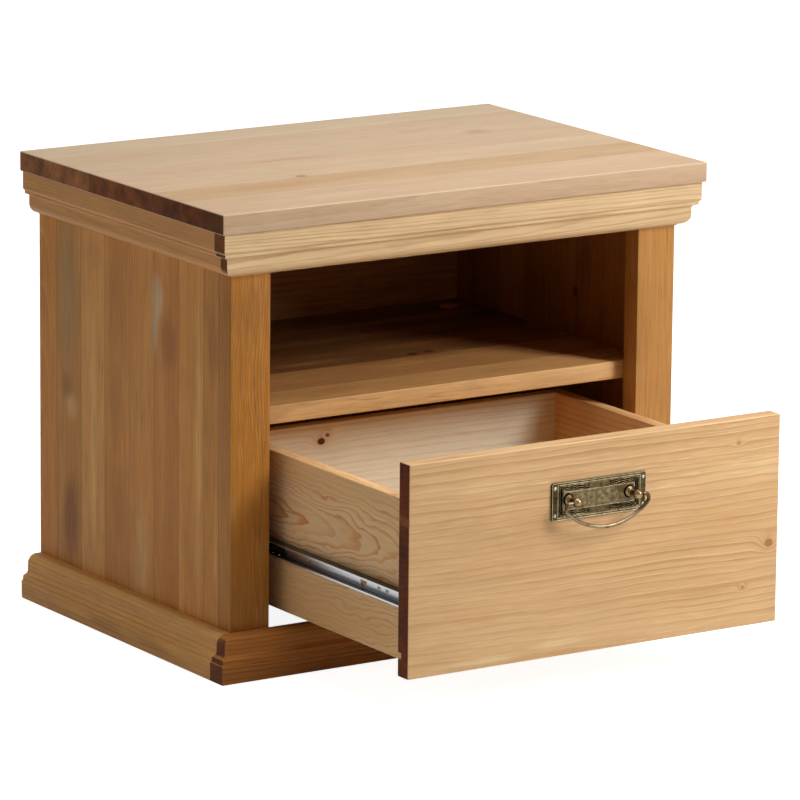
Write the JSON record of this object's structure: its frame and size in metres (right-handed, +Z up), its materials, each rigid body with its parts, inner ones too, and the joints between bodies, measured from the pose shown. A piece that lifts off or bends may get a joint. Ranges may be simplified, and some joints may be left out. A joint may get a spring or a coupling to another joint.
{
  "type": "nightstand",
  "caption": "Small pine nightstand with a moulded top and plinth, an open compartment over a drawer on ball slides that stands open, and a hanging brass bail handle.",
  "frame": {"origin": "on the floor, in the middle of the cabinet's back edge", "axes": "+Z up, +X to the right seen from the front, +Y to the back, so the front and the drawer face -Y"},
  "size_m": [0.5, 0.566, 0.41],
  "materials": {
    "pine_top": "satin varnish",
    "pine_pale": "satin varnish",
    "pine_body": "satin varnish",
    "pine_dark": "satin varnish",
    "pine_raw": "bare, sanded",
    "zinc_steel": "zinc plated",
    "screw_steel": "zinc plated",
    "ball_steel": "polished",
    "cap_plastic": "matt",
    "clear_rubber": "soft",
    "aged_brass": "aged",
    "bail_brass": "worn bright",
    "black_plastic": "matt"
  },
  "bodies": {
    "cabinet": {"top_board": "pine_top", "cornice_front": "pine_pale", "cornice_left": "pine_pale", "cornice_right": "pine_pale", "stile_left": "pine_body", "stile_right": "pine_body", "side_left": "pine_body", "side_right": "pine_body", "top_rail_front": "pine_body", "top_rail_back": "pine_body", "shelf": "pine_body", "back_panel": "pine_body", "plinth_front": "pine_dark", "plinth_left": "pine_dark", "plinth_right": "pine_dark", "base_rail_back": "pine_body", "packer_left": "pine_raw", "packer_right": "pine_raw", "cabinet_rail_left": "zinc_steel", "cabinet_rail_right": "zinc_steel", "top_screws": "screw_steel", "cornice_screws": "screw_steel", "plinth_screws": "screw_steel", "back_screws": "screw_steel", "packer_screws": "screw_steel", "cabinet_rail_screws": "screw_steel", "top_dowels": "pine_raw", "stile_dowels": "pine_raw", "rail_dowels": "pine_raw", "shelf_dowels": "pine_raw", "cam_housings": "zinc_steel", "cam_bolts": "zinc_steel", "cover_caps": "cap_plastic"},
    "drawer": {"drawer_front": "pine_pale", "drawer_side_left": "pine_raw", "drawer_side_right": "pine_raw", "drawer_back": "pine_raw", "drawer_bottom": "pine_raw", "drawer_rail_left": "zinc_steel", "drawer_rail_right": "zinc_steel", "drawer_rail_screws": "screw_steel", "drawer_dowels": "pine_raw", "drawer_box_screws": "screw_steel", "front_bumpers": "clear_rubber", "handle_plate": "aged_brass", "handle_posts": "aged_brass", "handle_pins": "aged_brass", "post_screws": "screw_steel"},
    "bail": {"bail": "bail_brass"},
    "cage_left": {"ball_cage_left": "black_plastic", "balls_left": "ball_steel"},
    "cage_right": {"ball_cage_right": "black_plastic", "balls_right": "ball_steel"}
  },
  "joints": [
    {"name": "drawer_slide", "type": "slide", "parent": "cabinet", "child": "drawer", "axis": [0, -1, 0], "range_m": [-0.218, 0.002]},
    {"name": "bail_swing", "type": "hinge", "parent": "drawer", "child": "bail", "pos_m": [0, -0.5625, 0.179], "axis": [-1, 0, 0], "range_deg": [-28, 205]},
    {"name": "cage_left_slide", "type": "slide", "parent": "cabinet", "child": "cage_left", "axis": [0, -1, 0], "range_m": [-0.109, 0.001]},
    {"name": "cage_right_slide", "type": "slide", "parent": "cabinet", "child": "cage_right", "axis": [0, -1, 0], "range_m": [-0.109, 0.001]}
  ],
  "couplings": [
    {"joint": "cage_left_slide", "follows": "drawer_slide", "ratio": 0.5},
    {"joint": "cage_right_slide", "follows": "drawer_slide", "ratio": 0.5}
  ]
}
